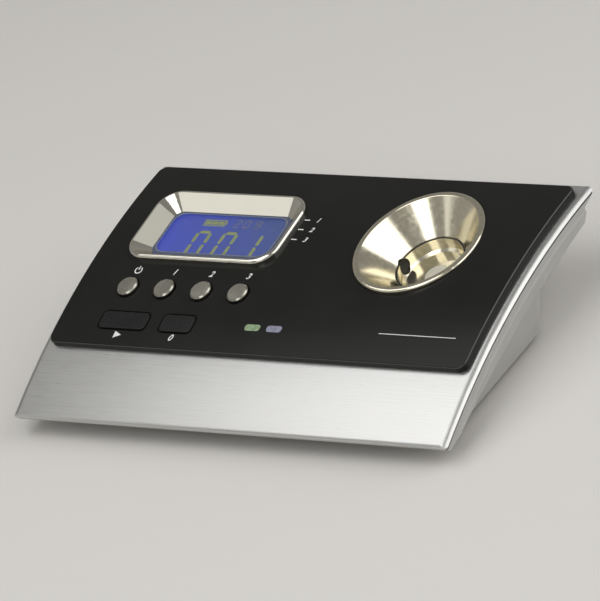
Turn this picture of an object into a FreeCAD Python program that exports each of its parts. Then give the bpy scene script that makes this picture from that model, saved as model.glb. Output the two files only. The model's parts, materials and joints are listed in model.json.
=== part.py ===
import FreeCAD, Part
import math
import os

# Digital refractometer, in millimetres. X runs along the front edge, Y to the back, Z up from the table.
# The top is a plate bent about one axis along X: level at its back edge, steepest at its front edge.
# "Along" is arc length up the plate from its front edge, "height" is measured square to the plate.

# Overall form
plate_width = 170.0
curve_radius = 245.0
front_tilt = math.radians(24.8)
front_height = 8.0
plate_thickness = 1.5
plate_corner = 1.2
plate_edge_round = 1.0

# Front panel
panel_thickness = 2.2
panel_front = 25.85
panel_margin = 3.3
panel_corner = 3.0
panel_bevel = 0.4

# Seal between plate and tray
gasket_thickness = 0.8
gasket_width = 1.7
gasket_inset = 0.9

# Tray under the plate
tray_wall = 2.0
tray_top_inset = 0.5
tray_front_inset = 0.35
ridge_drop = 4.8
ridge_inset = 0.1
ridge_rise = 0.5
ridge_chamfer = 0.2
skirt_inset = 2.1
skirt_drop = 12.0
lip_height = 1.3
underside_rise = 17.5
underside_arch = 1.6
overhang_depth = 8.0
overhang_rise = 5.8
brow_depth = 6.2
brow_rise = 4.4
tray_corner = 2.5

# Foot block
block_bottom = 2.0
block_side_inset = 8.0
block_front = -36.0
block_side_back = 14.1
block_back = 34.1
block_chamfer = 20.0
block_draft = 0.35
block_wall = 2.5
block_corner = 7.0
block_edge_round = 0.8
block_top = 26.0

# Rubber feet
foot_radius = 5.0
foot_edge = 0.6
foot_recess = 0.8
foot_inset = 9.0
foot_front_y = -28.5
foot_back_y = 5.0
fit_gap = 0.1

# Housing screws
screw_radius = 1.25
screw_head_radius = 2.3
screw_head_height = 1.6
screw_length = 6.0
screw_tip_gap = 0.5
screw_hole_gap = 0.2
screw_head_gap = 0.3
screw_slot_width = 0.5
screw_slot_share = 0.6
thread_gap = 0.05
screw_boss_radius = 3.4
screw_recess_depth = 2.0
screw_front_inset = 21.0
screw_front_y = -29.0
screw_back_inset = 5.0
screw_back_y = 12.5
boss_joint_height = 6.5

# Display, placed from the panel's left edge
display_inset = 41.4
display_along = 74.4
bezel_width = 59.4
bezel_depth = 30.4
bezel_corner = 8.0
bezel_height = 1.6
bezel_lip = 1.3
bezel_crest = 1.2
view_width = 46.9
view_depth = 19.0
view_corner = 3.0
view_level = -0.3
window_overlap = 1.5
window_thickness = 1.0
module_gap = 0.5
module_margin = 2.5
module_thickness = 3.6

# Buttons and keys, placed from the panel's left edge
button_radius = 3.63
button_first_inset = 20.9
button_pitch = 14.74
button_along = 48.2
button_count = 4
button_rise = 1.3
button_bevel = 0.45
button_recess = 0.5
key_along = 35.5
key_depth = 6.5
key_corner = 1.6
key_rise = 0.3
key_edge_round = 0.35
start_key_inset = 26.4
start_key_width = 18.6
zero_key_inset = 47.7
zero_key_width = 12.6
running_gap = 0.15
press_travel = 0.5
switch_clearance = 0.2
flange_margin = 0.9
flange_thickness = 0.6
flange_gap = 0.3
stem_radius = 1.6

# Indicator windows, placed from the panel's left edge
light_along = 35.85
light_width = 6.2
light_depth = 2.4
light_corner = 1.0
light_slant = 0.3
green_light_inset = 77.4
light_pitch = 8.5

# Sample cup, placed from the panel's right edge
cup_inset = 42.1
cup_along = 73.3
rim_radius = 22.15
rim_width = 1.9
rim_rise = 0.7
rim_seat = 0.5
rim_outer_round = 0.7
rim_inner_round = 0.4
cone_foot_radius = 11.8
cone_depth = 9.4
cup_wall = 1.1
well_radius = 11.0
well_depth = 4.8
well_ledge_step = 0.25
well_floor_chamfer = 0.8
well_wall = 1.4
cup_floor = 1.4
prism_face_radius = 3.9
prism_length = 12.0
prism_width = 8.0
prism_height = 4.0
cell_window_radius = 2.5
cell_window_thickness = 1.3
cell_axis_above_floor = 2.6

# Optics carrier under the cup
carrier_length = 56.0
carrier_arm_width = 9.2
carrier_body_length = 31.0
carrier_width = 25.0
carrier_base_length = 40.0
carrier_base_width = 20.0
carrier_shoulder = 3.4
carrier_base_depth = 4.6
carrier_corner = 1.5
carrier_ear = 7.0
carrier_ear_width = 12.0
carrier_ear_thickness = 1.6
carrier_ear_drop = 2.6
cup_clearance = 0.15
light_bore_radius = 2.6
filter_radius = 3.4
filter_thickness = 1.0
filter_distance = 5.0
emitter_distance = 7.0
lens_radius = 2.6
lens_thickness = 1.6
lens_distance = 2.9
source_radius = 1.5
source_length = 2.0
source_distance = 2.5
optic_tilt = 40.0
probe_radius = 1.2
probe_overhang = 1.0
sensor_board_thickness = 1.2
sensor_size = (2.4, 4.0, 0.8)
tray_opening_margin = 1.0

# Boards
board_thickness = 1.2
key_board_along = 42.0
key_board_depth = 24.0
key_board_drop = 4.8
board_corner = 2.0
switch_size = 5.0
switch_height = 1.3
switch_case_height = 1.0
led_size = 3.0
led_height = 1.6
main_board_left_inset = 27.0
main_board_right_inset = 33.0
main_board_y = (-30.0, 1.0)
board_standoff = 1.6
board_screw_inset = 4.0
board_screw_radius = 1.0
board_screw_head = 1.9
board_screw_head_height = 1.2
processor_size = 12.0
processor_height = 1.4
processor_x = 4.0
processor_y = -12.0
pin_mark_radius = 0.8

# Other components of the main board: middle in X and Y, then width, depth and height
components = [(35.0, -14.0, 10.0, 4.0, 2.2), (16.0, -23.0, 8.0, 6.0, 2.0), (-35.0, -16.25, 2.0, 3.5, 1.1),
              (-31.0, -16.25, 2.0, 3.5, 1.1), (-27.0, -16.25, 2.0, 3.5, 1.1)]

# Ribbon cables, their connectors and the slots that they pass
ribbon_thickness = 0.3
ribbon_width = 12.0
ribbon_end_gap = 0.1
display_ribbon_offset = 5.3
display_connector_y = -1.0
display_slot_y = (-2.5, 9.0)
key_ribbon_x = -12.0
key_connector_y = -22.5
key_slot_y = (-24.0, -16.5)
connector_depth = 3.0
connector_height = 1.8
connector_margin = 1.0
key_plug_inset = 1.0
key_plug_height = 1.5
slot_margin = 2.0
slot_corner = 1.5

# Batteries and their cover
cell_radius = 5.25
cell_length = 44.5
cell_edge = 0.5
cell_tip_radius = 1.9
cell_tip_length = 1.0
cell_gap = 0.7
cell_play = 1.75
cell_seat_gap = 0.3
cell_cover_gap = 2.0
contact_thickness = 0.3
contact_width = 5.0
contact_height = 7.0
bay_right = -3.0
cover_front_y = 6.5
cover_edge = 0.5
cover_height = 9.5
cover_gap = 0.25
cover_travel = 8.0
rail_reach = 2.0
rail_root = 1.5
rail_thickness = 1.2
rail_gap = 0.1
rail_hold = 5.0
bay_wall = 1.2
bay_height = 11.5
grip_count = 4
grip_pitch = 2.4
grip_length = 18.0
grip_width = 1.0
grip_depth = 0.5
grip_inset = 6.0

# Height of the bodies that only trim others
cutter_height = 60.0

# Worked out from the sizes above
plate_length = curve_radius * front_tilt
plate_depth = ((curve_radius - plate_edge_round) * math.sin(front_tilt)
               + plate_edge_round * (1 - math.cos(front_tilt)))
axis_y = plate_depth / 2
back_height = front_height + curve_radius * (1 - math.cos(front_tilt))
axis_z = back_height - curve_radius
half_width = plate_width / 2
panel_back = plate_length - panel_margin
tray_top = -plate_thickness - gasket_thickness
panel_half = half_width - panel_margin
block_half_width = half_width - block_side_inset
foot_x = block_half_width - foot_inset
display_x = display_inset - panel_half
button_first_x = button_first_inset - panel_half
start_key_x = start_key_inset - panel_half
main_board_x = (main_board_left_inset - block_half_width, block_half_width - main_board_right_inset)
display_ribbon_x = display_x + display_ribbon_offset
zero_key_x = zero_key_inset - panel_half
green_light_x = green_light_inset - panel_half
violet_light_x = green_light_x + light_pitch
cup_x = panel_half - cup_inset
floor_level = block_bottom + block_wall
prism_top = panel_thickness + rim_rise - cone_depth - well_depth
cell_axis = prism_top + cell_axis_above_floor


def point(x, y, z=0.0):
    return FreeCAD.Vector(x, y, z)


def on_arc(along, height):
    """Point of the curved top in the plane X = 0."""
    tilt = front_tilt * (1 - along / plate_length)
    reach = curve_radius + height
    return point(0, axis_y - reach * math.sin(tilt), axis_z + reach * math.cos(tilt))


def surface_place(x, along, height=0.0):
    """Placement on the curved top: local Z is square to the plate, local Y runs up the slope."""
    tilt = math.degrees(front_tilt * (1 - along / plate_length))
    spot = on_arc(along, height) + point(x, 0)
    return FreeCAD.Placement(spot, FreeCAD.Rotation(point(1, 0), tilt))


def placed(shape, placement):
    """Copy of a shape that was drawn in local axes, moved to its place on the top."""
    moved = shape.copy()
    moved.Placement = placement.multiply(moved.Placement)
    return moved


def box(x0, x1, y0, y1, z0, z1):
    return Part.makeBox(x1 - x0, y1 - y0, z1 - z0, point(x0, y0, z0))


def cylinder(radius, z0, z1, x=0.0, y=0.0):
    return Part.makeCylinder(radius, z1 - z0, point(x, y, z0))


def rounded_polygon(corners, radius, z=0.0):
    """Closed wire through the corners, each rounded to the same radius."""
    edges = []
    tangents = []
    count = len(corners)
    for index in range(count):
        before = point(*corners[index - 1], z)
        corner = point(*corners[index], z)
        after = point(*corners[(index + 1) % count], z)
        to_before = (before - corner).normalize()
        to_after = (after - corner).normalize()
        half_turn = to_before.getAngle(to_after) / 2
        setback = radius / math.tan(half_turn)
        middle = (to_before + to_after).normalize() * (radius / math.sin(half_turn) - radius)
        tangents.append((corner + to_before * setback, corner + middle, corner + to_after * setback))
    for index in range(count):
        start, middle, end = tangents[index]
        edges.append(Part.Arc(start, middle, end).toShape())
        edges.append(Part.makeLine(end, tangents[(index + 1) % count][0]))
    return Part.Wire(edges)


def rounded_rectangle(width, depth, radius, z=0.0):
    x = width / 2
    y = depth / 2
    return rounded_polygon([(-x, -y), (x, -y), (x, y), (-x, y)], radius, z)


def prism(wire, height):
    return Part.Face(wire).extrude(point(0, 0, height))


def curved_slab(x0, x1, along0, along1, low, high):
    """Slab that follows the top, between two heights over or under the plate's upper face."""
    middle = (along0 + along1) / 2
    corners = [on_arc(along0, low), on_arc(along1, low), on_arc(along1, high), on_arc(along0, high)]
    lower = Part.Arc(corners[0], on_arc(middle, low), corners[1]).toShape()
    upper = Part.Arc(corners[2], on_arc(middle, high), corners[3]).toShape()
    ends = [Part.makeLine(corners[1], corners[2]), Part.makeLine(corners[3], corners[0])]
    face = Part.Face(Part.Wire([lower, ends[0], upper, ends[1]]))
    face.translate(point(x0, 0))
    return face.extrude(point(x1 - x0, 0))


def round_slab_corners(slab, thickness, radius):
    """Rounds the four corners of a curved slab, seen square to the plate."""
    corners = [edge for edge in slab.Edges
               if edge.Curve.TypeId == "Part::GeomLine" and abs(edge.Length - thickness) < 1e-6]
    return slab.makeFillet(radius, corners)


def top_rim(slab, height):
    """Edges round the upper face of a curved slab."""
    for face in slab.Faces:
        surface = face.Surface
        if surface.TypeId == "Part::GeomCylinder" and abs(surface.Radius - curve_radius - height) < 1e-6:
            return face.OuterWire.Edges


def join(shapes):
    """One solid from pieces that touch or overlap."""
    return shapes[0].multiFuse(shapes[1:]).removeSplitter()


# Outlines of the openings in plate and panel

def button_places():
    return [surface_place(button_first_x + index * button_pitch, button_along)
            for index in range(button_count)]


def key_list():
    return [("start_key", start_key_x, start_key_width), ("zero_key", zero_key_x, zero_key_width)]


def control_openings(gap):
    """Prisms through plate and panel for the buttons, the keys and the indicator windows."""
    low = -plate_thickness - 1
    high = panel_thickness + 2
    cuts = [placed(cylinder(button_radius + gap, low, high), place) for place in button_places()]
    for name, x, width in key_list():
        outline = rounded_rectangle(width + 2 * gap, key_depth + 2 * gap, key_corner + gap, low)
        cuts.append(placed(prism(outline, high - low), surface_place(x, key_along)))
    for x in (green_light_x, violet_light_x):
        cuts.append(placed(light_outline(low, high - low), surface_place(x, light_along)))
    return cuts


def light_outline(low, height):
    """Indicator window, a little narrower at its front edge."""
    half = light_width / 2
    front = half - light_slant
    corners = [(-front, -light_depth / 2), (front, -light_depth / 2),
               (half, light_depth / 2), (-half, light_depth / 2)]
    return prism(rounded_polygon(corners, light_corner, low), height)


def display_opening():
    outline = rounded_rectangle(bezel_width - 2 * bezel_lip + 2 * fit_gap,
                                bezel_depth - 2 * bezel_lip + 2 * fit_gap,
                                bezel_corner - bezel_lip, -plate_thickness - 1)
    return placed(prism(outline, plate_thickness + panel_thickness + 3), display_place())


def display_place():
    return surface_place(display_x, display_along)


def cup_place():
    return surface_place(cup_x, cup_along)


# Top of the housing

def top_plate():
    slab = curved_slab(-half_width, half_width, 0, plate_length, -plate_thickness, 0)
    slab = round_slab_corners(slab, plate_thickness, plate_corner)
    slab = slab.makeFillet(plate_edge_round, top_rim(slab, 0))
    hole = placed(cylinder(rim_radius - rim_width, -plate_thickness - 1, 2), cup_place())
    return slab.cut(control_openings(running_gap) + [display_opening(), hole])


def front_panel():
    slab = curved_slab(-panel_half, panel_half, panel_front, panel_back, 0, panel_thickness)
    slab = round_slab_corners(slab, panel_thickness, panel_corner)
    slab = slab.makeChamfer(panel_bevel, top_rim(slab, panel_thickness))
    hole = placed(cylinder(rim_radius + fit_gap, -2, panel_thickness + 2), cup_place())
    ring = cylinder(button_radius + button_recess, panel_thickness - button_recess, panel_thickness + 1)
    recesses = [placed(ring, place) for place in button_places()]
    for name, x, width in key_list():
        outline = rounded_rectangle(width + 2 * button_recess, key_depth + 2 * button_recess,
                                    key_corner + button_recess, panel_thickness - button_recess)
        recesses.append(placed(prism(outline, 1 + button_recess), surface_place(x, key_along)))
    return slab.cut(control_openings(running_gap) + recesses + [display_opening(), hole])


def housing_gasket():
    outer = curved_slab(-half_width + gasket_inset, half_width - gasket_inset, gasket_inset,
                        plate_length - gasket_inset, tray_top, -plate_thickness)
    rim = gasket_inset + gasket_width
    inner = curved_slab(-half_width + rim, half_width - rim, rim, plate_length - rim,
                        tray_top - 1, 0)
    return round_slab_corners(outer, gasket_thickness, plate_corner).cut(inner)


# Tray

def tray_section(inset):
    """Solid of revolution about the plate's axis: set-back band, ridge, then a skirt that leans in."""
    top_x = half_width - tray_top_inset - inset
    ridge_x = half_width - ridge_inset - inset
    skirt_x = ridge_x - skirt_inset
    base = axis_z + curve_radius
    top_z = base + tray_top
    ridge_z = base - ridge_drop
    band_z = ridge_z + ridge_rise
    skirt_z = base - skirt_drop
    slope = point(skirt_x - ridge_x, 0, skirt_z - ridge_z).normalize() * ridge_chamfer
    rise = point(top_x - ridge_x, 0, ridge_rise).normalize() * ridge_chamfer
    ridge = point(ridge_x, axis_y, ridge_z)
    right = [point(top_x, axis_y, top_z), point(top_x, axis_y, band_z), ridge + rise, ridge + slope,
             point(skirt_x, axis_y, skirt_z)]
    left = [point(-corner.x, corner.y, corner.z) for corner in reversed(right)]
    face = Part.Face(Part.makePolygon(right + left + right[:1]))
    axis = point(0, axis_y, axis_z)
    margin = 2.0
    face.rotate(axis, point(1, 0), -margin)
    return face.revolve(axis, point(1, 0), math.degrees(front_tilt) + 2 * margin)


def underside(inset):
    """Arc of the tray's underside in the plane X = 0, from front to back."""
    front = on_arc(tray_front_inset, tray_top - lip_height) + point(0, 0.7)
    back = point(0, axis_y - overhang_depth, front.z + underside_rise)
    middle = (front + back) * 0.5 + point(0, 0, underside_arch)
    lift = point(0, 0, inset)
    return [front + lift + point(0, 1.5 * inset), middle + lift, back + lift - point(0, inset / 2)]


def tray_profile(inset):
    """Side view of the tray, as a prism as wide as the plate."""
    front, middle, back = underside(inset)
    top = point(0, 0, back_height + 10)
    lip = on_arc(tray_front_inset + inset, tray_top + 0.3)
    brow = point(0, axis_y - brow_depth - inset, back.z + brow_rise)
    ridge = point(0, axis_y - tray_top_inset - inset, back.z + overhang_rise)
    corners = [back, brow, ridge, point(0, ridge.y, top.z), point(0, lip.y, top.z), lip]
    edges = [Part.Arc(front, middle, back).toShape()]
    edges += [Part.makeLine(start, end) for start, end in zip(corners, corners[1:])]
    edges.append(Part.makeLine(lip, front))
    face = Part.Face(Part.Wire(edges))
    face.translate(point(-half_width, 0))
    return face.extrude(point(plate_width, 0))


def above_underside(inset=0.0):
    """Everything above the tray's underside, or above its floor, to trim what stands below."""
    front, middle, back = underside(inset)
    top = point(0, 0, back_height + 20)
    sides = [Part.makeLine(back, point(0, back.y, top.z)),
             Part.makeLine(point(0, back.y, top.z), point(0, front.y, top.z)),
             Part.makeLine(point(0, front.y, top.z), front)]
    face = Part.Face(Part.Wire([Part.Arc(front, middle, back).toShape()] + sides))
    face.translate(point(-plate_width, 0))
    return face.extrude(point(2 * plate_width, 0))


def tray_openings():
    """Holes in the tray's floor: a cross round the cup's optics and a slot for each ribbon."""
    y = cup_place().Base.y
    margin = tray_opening_margin
    spans = []
    for length, width in ((carrier_body_length, carrier_width), (carrier_length, carrier_arm_width)):
        reach = length / 2 + margin
        spans.append((cup_x - reach, cup_x + reach, y - width / 2 - 2 * margin, y + width / 2 + 3 * margin))
    for x, (slot_front, slot_back) in ((display_ribbon_x, display_slot_y), (key_ribbon_x, key_slot_y)):
        reach = ribbon_width / 2 + slot_margin
        spans.append((x - reach, x + reach, slot_front, slot_back))
    return [prism(rounded_polygon([(x0, y0), (x1, y0), (x1, y1), (x0, y1)], slot_corner, floor_level), 30)
            for x0, x1, y0, y1 in spans]


def screw_spots():
    rows = [(screw_front_inset, screw_front_y), (screw_back_inset, screw_back_y)]
    return [(side * (block_half_width - inset), y) for inset, y in rows for side in (-1, 1)]


def upper_housing():
    plan = prism(rounded_rectangle(plate_width, plate_depth - tray_top_inset, tray_corner), cutter_height)
    outer = tray_section(0).common(tray_profile(0)).common(plan)
    inner = tray_section(tray_wall).common(tray_profile(tray_wall))
    lid = curved_slab(-half_width, half_width, -5, plate_length + 5, tray_top, tray_top + 15)
    body = outer.cut([inner, lid] + tray_openings())
    posts = [cylinder(screw_boss_radius, boss_joint_height, block_top + 2, x, y)
             for x, y in screw_spots()]
    body = join([body] + [post.cut(above_underside(tray_wall / 2)) for post in posts])
    pilots = [cylinder(screw_radius, boss_joint_height - 1, boss_joint_height + screw_length, x, y)
              for x, y in screw_spots()]
    return body.cut(pilots)


# Foot block

def block_wire(z, inset):
    """Plan outline of the foot block at a height: drafted sides and cut-off rear corners."""
    grow = block_draft * (z - block_bottom) - inset
    turn = grow * (math.sqrt(2) - 1)
    side = block_half_width + grow
    front = block_front - grow
    side_back = block_side_back + turn
    back = block_back + grow
    back_x = block_half_width - block_chamfer + turn
    corners = [(-side, front), (side, front), (side, side_back), (back_x, back),
               (-back_x, back), (-side, side_back)]
    return rounded_polygon(corners, block_corner, z)


def block_solid(bottom, inset):
    return Part.makeLoft([block_wire(bottom, inset), block_wire(block_top, inset)], True, True)


def block_shell():
    outer = block_solid(block_bottom, 0)
    bottom_edges = [edge for edge in outer.Edges
                    if all(abs(vertex.Z - block_bottom) < 1e-6 for vertex in edge.Vertexes)]
    outer = outer.makeFillet(block_edge_round, bottom_edges)
    return outer.cut([block_solid(floor_level, block_wall), above_underside()])


def foot_spots():
    return [(side * foot_x, y) for y in (foot_front_y, foot_back_y) for side in (-1, 1)]


def board_screw_spots():
    inset = board_screw_inset
    return [(x, y) for x in (main_board_x[0] + inset, main_board_x[1] - inset)
            for y in (main_board_y[0] + inset, main_board_y[1] - inset)]


def bay_ends():
    """Inner faces of the battery bay's end walls."""
    return bay_right - cell_length - 2 * cell_play, bay_right


def cover_span(gap):
    """Left and right edge of the battery cover or, with no gap, of its opening."""
    left, right = bay_ends()
    return left - cover_edge + gap, right + cover_edge - gap


def cover_zone(gap):
    left, right = cover_span(gap)
    return box(left, right, cover_front_y + gap, plate_depth, 0, cover_height + block_bottom - gap)


def battery_bay():
    """Walls round the two cells. The end walls stand over the rails of the cover."""
    left, right = bay_ends()
    top = floor_level + bay_height
    rail_top = floor_level + rail_gap + rail_thickness + rail_gap
    left_out, right_out = cover_span(0)
    reach = rail_reach + 2 * rail_gap
    front = cover_front_y - 2 * bay_wall
    back = block_back - block_wall + 1
    walls = []
    for inner, outer, side in ((left, left_out, -1), (right, right_out, 1)):
        far = outer + side * (reach + bay_wall)
        xs = sorted((inner, far))
        walls.append(box(xs[0], xs[1], front, back, rail_top, top))
        xs = sorted((outer + side * reach, far))
        walls.append(box(xs[0], xs[1], front, back, floor_level - 0.5, top))
    walls.append(box(left_out - reach - bay_wall, right_out + reach + bay_wall,
                     front, front + bay_wall, floor_level - 0.5, top))
    return walls


def lower_housing():
    shell = block_shell()
    hollow_limit = block_solid(block_bottom, 0.5)
    bosses = [cylinder(screw_boss_radius, floor_level - 0.5, boss_joint_height, x, y)
              for x, y in screw_spots()]
    standoffs = [cylinder(board_screw_head, floor_level - 0.5, floor_level + board_standoff, x, y)
                 for x, y in board_screw_spots()]
    walls = [wall.common(hollow_limit).cut(above_underside()) for wall in battery_bay()]
    body = join([shell] + bosses + standoffs + walls)
    cuts = [cylinder(foot_radius + fit_gap, 0, block_bottom + foot_recess, x, y) for x, y in foot_spots()]
    for x, y in screw_spots():
        cuts.append(cylinder(screw_head_radius + screw_head_gap, 0, block_bottom + screw_recess_depth, x, y))
        cuts.append(cylinder(screw_radius + screw_hole_gap, 0, boss_joint_height + 1, x, y))
    for x, y in board_screw_spots():
        cuts.append(cylinder(board_screw_radius, floor_level - 1, floor_level + 5, x, y))
    opening = cover_zone(0).common(block_shell())
    return body.cut(cuts + [opening])


def battery_cover():
    """Floor and rear wall of the battery bay in one piece, with a rail along each side."""
    plate = block_shell().common(cover_zone(cover_gap))
    left, right = cover_span(cover_gap)
    low = floor_level + rail_gap
    start = cover_front_y + cover_gap
    end = start + cover_travel + rail_hold
    rails = []
    for edge, side in ((left, -1), (right, 1)):
        root = edge - side * rail_root
        xs = sorted((edge + side * (rail_reach + cover_gap - rail_gap), root))
        rails.append(box(xs[0], xs[1], start, end, low, low + rail_thickness))
        xs = sorted((edge, root))
        rails.append(box(xs[0], xs[1], start, end, floor_level - block_wall / 4, low))
    middle = (left + right) / 2
    half = grip_length / 2
    grips = []
    for index in range(grip_count):
        y = block_back - grip_inset - index * grip_pitch
        grips.append(box(middle - half, middle + half, y - grip_width, y, 0, block_bottom + grip_depth))
    return join([plate] + rails).cut(grips)


def rubber_feet():
    foot = cylinder(foot_radius, 0, block_bottom + foot_recess)
    rim = [edge for edge in foot.Edges if edge.Vertexes[0].Z < 1e-6 and len(edge.Vertexes) == 1]
    foot = foot.makeChamfer(foot_edge, rim)
    return Part.makeCompound([foot.translated(point(x, y)) for x, y in foot_spots()])


def screw(radius, length, head_radius, head_height, tip_up=True):
    """Pan-head screw with its head's flat face at the origin and its shank along +Z."""
    head = cylinder(head_radius, -head_height, 0)
    rim = [edge for edge in head.Edges if abs(edge.Vertexes[0].Z + head_height) < 1e-6
           and len(edge.Vertexes) == 1]
    head = head.makeChamfer(head_height * 0.4, rim)
    reach = head_radius * screw_slot_share
    half = screw_slot_width / 2
    slot = [box(-reach, reach, -half, half, -head_height - 1, -head_height / 2),
            box(-half, half, -reach, reach, -head_height - 1, -head_height / 2)]
    body = join([head, cylinder(radius, -head_height / 4, length)]).cut(slot)
    if not tip_up:
        body.rotate(point(0, 0), point(1, 0), 180)
    return body


def housing_screws():
    seat = block_bottom + screw_recess_depth
    length = boss_joint_height + screw_length - seat - screw_tip_gap
    body = screw(screw_radius - thread_gap, length, screw_head_radius, screw_head_height)
    return Part.makeCompound([body.translated(point(x, y, seat)) for x, y in screw_spots()])


# Display

def lcd_bezel():
    """Frame with a rounded crest and four faces that slope down to the window."""
    top = panel_thickness + bezel_height
    base = rounded_rectangle(bezel_width, bezel_depth, bezel_corner, -1)
    body = prism(base, top + 1)
    crest = [edge for edge in body.Edges if all(abs(vertex.Z - top) < 1e-6 for vertex in edge.Vertexes)]
    body = body.makeFillet(bezel_crest - 0.2, crest)
    neck = prism(rounded_rectangle(bezel_width - 2 * bezel_lip, bezel_depth - 2 * bezel_lip,
                                   bezel_corner - bezel_lip, view_level), top - view_level)
    skirt = prism(base, panel_thickness + 1)
    shade = placed(body, display_place())
    under = curved_slab(-half_width, half_width, 0, plate_length, -5, panel_thickness)
    lip = shade.cut(under)
    frame = join([lip, placed(neck.common(skirt), display_place())])
    slope = Part.makeLoft([
        rounded_rectangle(view_width, view_depth, view_corner, view_level),
        rounded_rectangle(bezel_width - 2 * bezel_crest, bezel_depth - 2 * bezel_crest,
                          bezel_corner - bezel_crest, top + 0.01)], True, True)
    return frame.cut(placed(slope, display_place()))


def lcd_window():
    outline = rounded_rectangle(view_width + 2 * window_overlap, view_depth + 2 * window_overlap,
                                view_corner, view_level - window_thickness)
    return placed(prism(outline, window_thickness), display_place())


def lcd_module():
    """Glass sandwich on a backlight frame."""
    top = view_level - window_thickness - module_gap
    width = view_width + 2 * module_margin
    depth = view_depth + 2 * module_margin
    glass = prism(rounded_rectangle(width, depth, 0.5, top - module_thickness / 2), module_thickness / 2)
    frame = prism(rounded_rectangle(width + 2, depth + 2, 1.0, top - module_thickness),
                  module_thickness / 2)
    return placed(join([glass, frame]), display_place())


# Buttons and keys

def pressed_body(cap, flange):
    """Cap, flange under the plate, and a stem that ends over the switch with room for the travel."""
    stem_end = -key_board_drop + switch_height + press_travel + switch_clearance
    stem = cylinder(stem_radius, stem_end, -plate_thickness - flange_gap)
    return join([cap, flange, stem])


def round_button():
    flange_top = -plate_thickness - flange_gap
    top = panel_thickness + button_rise
    cap = cylinder(button_radius, flange_top - 0.1, top)
    rim = [edge for edge in cap.Edges if len(edge.Vertexes) == 1 and edge.Vertexes[0].Z > top - 1e-6]
    cap = cap.makeChamfer(button_bevel, rim)
    flange = cylinder(button_radius + flange_margin, flange_top - flange_thickness, flange_top)
    return pressed_body(cap, flange)


def flat_key(width):
    flange_top = -plate_thickness - flange_gap
    top = panel_thickness + key_rise
    cap = prism(rounded_rectangle(width, key_depth, key_corner, flange_top - 0.1), top - flange_top + 0.1)
    rim = [edge for edge in cap.Edges if all(abs(vertex.Z - top) < 1e-6 for vertex in edge.Vertexes)]
    cap = cap.makeFillet(key_edge_round, rim)
    flange = prism(rounded_rectangle(width + 2 * flange_margin, key_depth + 2 * flange_margin,
                                     key_corner, flange_top - flange_thickness), flange_thickness)
    return pressed_body(cap, flange)


def status_light(x):
    body = light_outline(-plate_thickness, panel_thickness + plate_thickness)
    return placed(body, surface_place(x, light_along))


# Boards under the controls

def key_board_place():
    middle = (start_key_x - start_key_width / 2 + violet_light_x + light_width / 2) / 2
    return surface_place(middle, key_board_along, 0)


def key_board_size():
    width = violet_light_x + light_width - start_key_x + start_key_width / 2 + 6
    return width, key_board_depth


def board_local(place):
    """Position of a control in the key board's own axes."""
    local = key_board_place().inverse().multVec(place.Base)
    return local.x, local.y


def key_plug_middle():
    """Middle of the plug's lower face, in the key board's own axes."""
    depth = key_board_size()[1]
    return point(key_ribbon_x - key_board_place().Base.x, key_plug_inset + (connector_depth - depth) / 2,
                 -key_board_drop - board_thickness - key_plug_height)


def key_board():
    width, depth = key_board_size()
    low = -key_board_drop - board_thickness
    plate = prism(rounded_rectangle(width, depth, board_corner, low), board_thickness)
    middle = key_plug_middle()
    plug = box(middle.x - ribbon_width / 2, middle.x + ribbon_width / 2, middle.y - connector_depth / 2,
               middle.y + connector_depth / 2, middle.z, low)
    return placed(join([plate, plug]), key_board_place())


def tact_switches():
    places = button_places() + [surface_place(x, key_along) for name, x, width in key_list()]
    half = switch_size / 2
    bodies = []
    for place in places:
        x, y = board_local(place)
        low = -key_board_drop
        case = box(x - half, x + half, y - half, y + half, low, low + switch_case_height)
        pin = cylinder(stem_radius, low + switch_case_height / 2, low + switch_height, x, y)
        bodies.append(placed(join([case, pin]), key_board_place()))
    return Part.makeCompound(bodies)


def status_leds():
    bodies = []
    for x in (green_light_x, violet_light_x):
        u, v = board_local(surface_place(x, light_along))
        half = led_size / 2
        case = box(u - half, u + half, v - half / 2, v + half / 2, -key_board_drop,
                   -key_board_drop + led_height)
        bodies.append(placed(case, key_board_place()))
    return Part.makeCompound(bodies)


def main_board():
    """Main board with its connectors and larger components."""
    low = floor_level + board_standoff
    top = low + board_thickness
    x0, x1 = main_board_x
    y0, y1 = main_board_y
    outline = rounded_polygon([(x0, y0), (x1, y0), (x1, y1), (x0, y1)], board_corner, low)
    holes = [cylinder(board_screw_radius + fit_gap, 0, 2 * top, x, y) for x, y in board_screw_spots()]
    width = ribbon_width + 2 * connector_margin
    sizes = [(x, y, width, connector_depth, connector_height)
             for x, y in ((display_ribbon_x, display_connector_y), (key_ribbon_x, key_connector_y))]
    fittings = [box(x - wide / 2, x + wide / 2, y - deep / 2, y + deep / 2, top, top + high)
                for x, y, wide, deep, high in sizes + components]
    return join([prism(outline, board_thickness)] + fittings).cut(holes)


def processor():
    top = floor_level + board_standoff + board_thickness
    half = processor_size / 2
    body = box(-half, half, -half, half, top, top + processor_height)
    inset = half - 2.5 * pin_mark_radius
    mark = cylinder(pin_mark_radius, top + processor_height * 0.9, top + 2 * processor_height, -inset, inset)
    return body.cut(mark).translated(point(processor_x, processor_y))


def board_screws():
    seat = floor_level + board_standoff + board_thickness
    length = board_standoff + board_thickness + block_wall / 3
    body = screw(board_screw_radius - thread_gap, length, board_screw_head, board_screw_head_height,
                 tip_up=False)
    return Part.makeCompound([body.translated(point(x, y, seat)) for x, y in board_screw_spots()])


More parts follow.
